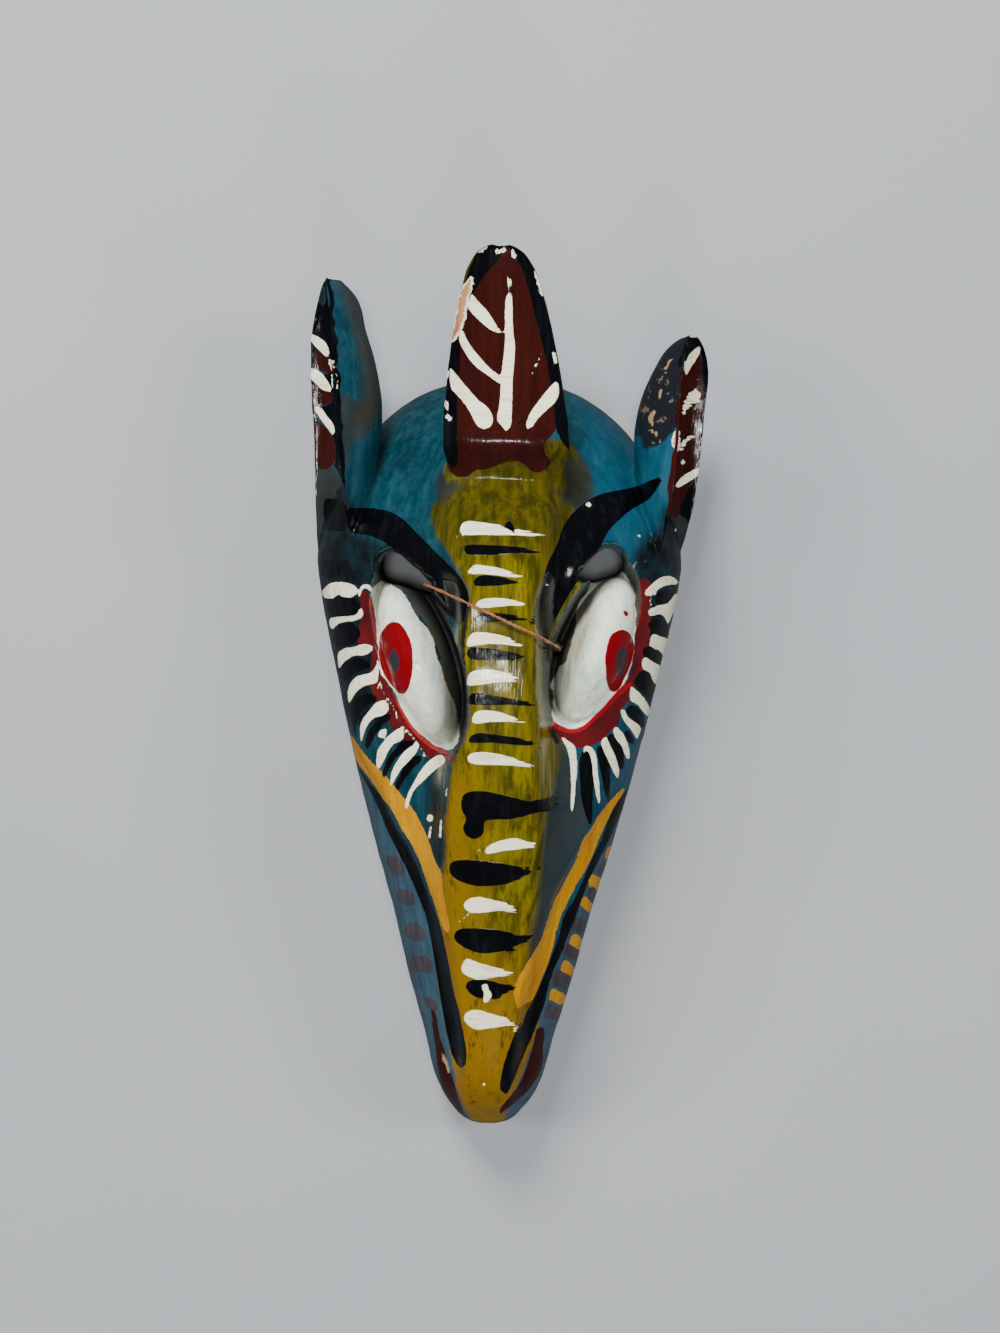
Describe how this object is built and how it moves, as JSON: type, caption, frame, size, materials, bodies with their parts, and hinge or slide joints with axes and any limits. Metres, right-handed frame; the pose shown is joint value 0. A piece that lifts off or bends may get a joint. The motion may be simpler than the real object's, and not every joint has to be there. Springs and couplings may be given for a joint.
{
  "type": "carved wooden animal mask",
  "caption": "Hollow carved wooden mask of a long-snouted horned beast with cupped ears, bulging eyes, see-through eye slots and a tie wire over the nose.",
  "frame": {"origin": "on the flat back rim's plane, below the middle of the whole mask", "axes": "+Z out of the face, +Y from the snout tip to the ears and the horn, +X to the viewer's right"},
  "size_m": [0.1704, 0.3686, 0.0995],
  "materials": {
    "painted_wood": "glossy enamel paint in mustard, blue, black, white and dark red over carved wood, chipped on the rims",
    "copper_wire": "thin bare copper-coloured wire, dulled"
  },
  "bodies": {
    "root": {"mask": "painted_wood", "tie_wire": "copper_wire"}
  },
  "joints": []
}
